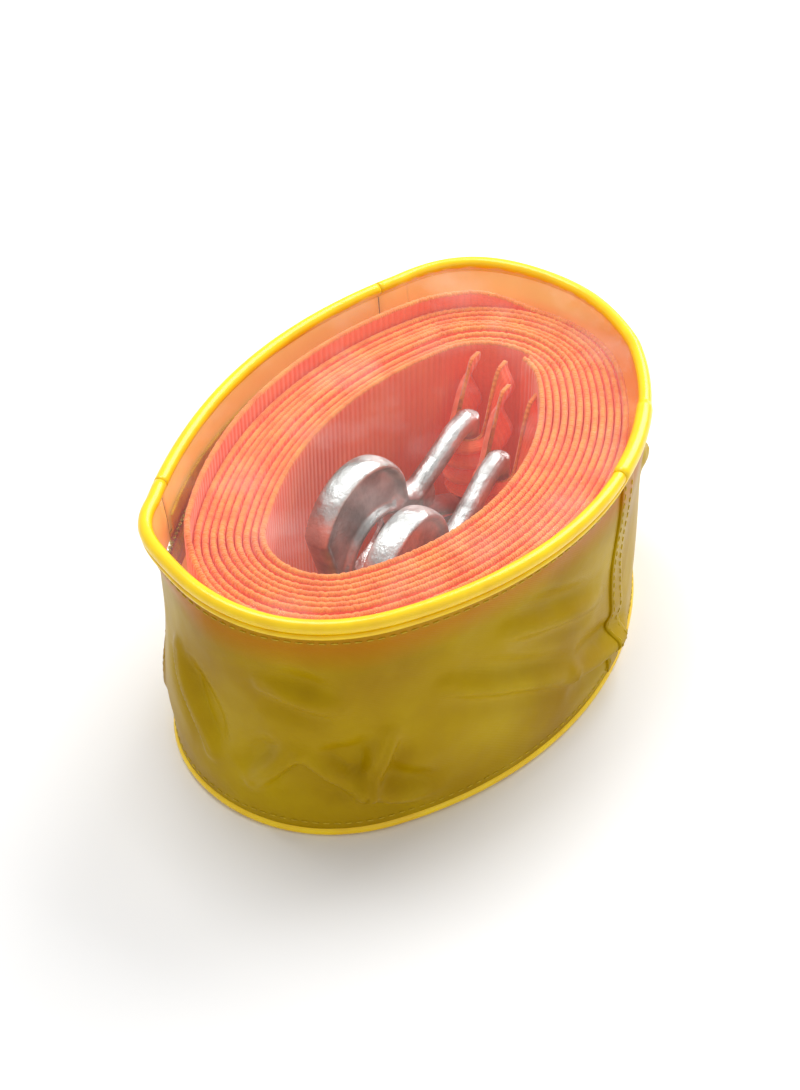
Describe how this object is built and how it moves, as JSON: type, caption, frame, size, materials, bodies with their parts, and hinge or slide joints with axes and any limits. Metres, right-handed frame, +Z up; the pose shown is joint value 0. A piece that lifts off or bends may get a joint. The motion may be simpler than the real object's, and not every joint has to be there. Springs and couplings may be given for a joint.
{
  "type": "webbing tow strap with hooks in a clear-top pouch",
  "caption": "Flat webbing tow strap folded double and wound on edge round two latch hooks, packed in an oval zipped pouch with a clear top.",
  "frame": {"origin": "middle of the pouch's underside", "axes": "+X along the pouch, +Y towards the zipped side, +Z up"},
  "size_m": [0.202, 0.1353, 0.0896],
  "materials": {
    "pouch_cloth": "thin coated cloth with a soft gloss",
    "piping": "glossy vinyl piping",
    "clear_film": "clear flexible vinyl film",
    "zip_tape": "woven zip tape",
    "zip_metal": "plain brass",
    "webbing": "woven polyester webbing",
    "galvanised_steel": "galvanised forging"
  },
  "bodies": {
    "pouch": {"bottom_panel": "pouch_cloth", "bottom_piping": "piping", "wall_front": "pouch_cloth", "wall_end": "pouch_cloth", "wall_rear_lower": "pouch_cloth", "zip_end_patch_right": "pouch_cloth", "zip_end_patch_left": "pouch_cloth", "side_seam_strip": "pouch_cloth", "top_piping": "piping", "piping_sleeve": "piping", "window_film": "clear_film", "zip_tape_lower": "zip_tape", "zip_teeth_lower": "zip_metal", "zip_stop_right": "zip_metal", "zip_stop_left": "zip_metal", "strap_webbing": "webbing", "end_loop_1": "webbing", "end_loop_2": "webbing"},
    "flap": {"zip_teeth_upper": "zip_metal", "zip_tape_upper": "zip_tape", "rear_band": "pouch_cloth", "top_piping_rear": "piping", "window_film_rear": "clear_film"},
    "slider": {"zip_slider": "zip_metal"},
    "pull_tab": {"zip_pull_tab": "zip_metal"},
    "hook_one": {"hook_1": "galvanised_steel", "latch_rivet_1": "galvanised_steel", "latch_spring_1": "galvanised_steel"},
    "latch_one": {"latch_1": "galvanised_steel"},
    "hook_two": {"hook_2": "galvanised_steel", "latch_rivet_2": "galvanised_steel", "latch_spring_2": "galvanised_steel"},
    "latch_two": {"latch_2": "galvanised_steel"}
  },
  "joints": [
    {"name": "flap_fold", "type": "hinge", "parent": "pouch", "child": "flap", "pos_m": [0, 0.05, 0.0862], "axis": [1, 0, 0], "range_deg": [0, 100]},
    {"name": "zip_run", "type": "hinge", "parent": "pouch", "child": "slider", "pos_m": [0, -0.09241, 0.0625], "axis": [0, 0, 1], "range_deg": [0, 51]},
    {"name": "pull_tab_swing", "type": "hinge", "parent": "slider", "child": "pull_tab", "pos_m": [0.07048, 0.05535, 0.0637], "axis": [0.9026, -0.4305, 0], "range_deg": [0, 150]},
    {"name": "hook_1_swing", "type": "hinge", "parent": "pouch", "child": "hook_one", "pos_m": [0.047, 0.008, 0.042], "axis": [0, 0, 1], "range_deg": [-3, 2]},
    {"name": "latch_1_open", "type": "hinge", "parent": "hook_one", "child": "latch_one", "pos_m": [0.0102, 0.01187, 0.033], "axis": [0.1045, 0.9945, 0], "range_deg": [0, 35], "stiffness_Nm_per_rad": 0.02, "springref_deg": -17.19},
    {"name": "hook_2_swing", "type": "hinge", "parent": "pouch", "child": "hook_two", "pos_m": [0.038, -0.009, 0.037], "axis": [0, 0, 1], "range_deg": [-1, 2]},
    {"name": "latch_2_open", "type": "hinge", "parent": "hook_two", "child": "latch_two", "pos_m": [0.001, -0.009, 0.028], "axis": [0, 1, 0], "range_deg": [0, 35], "stiffness_Nm_per_rad": 0.02, "springref_deg": -17.19}
  ]
}
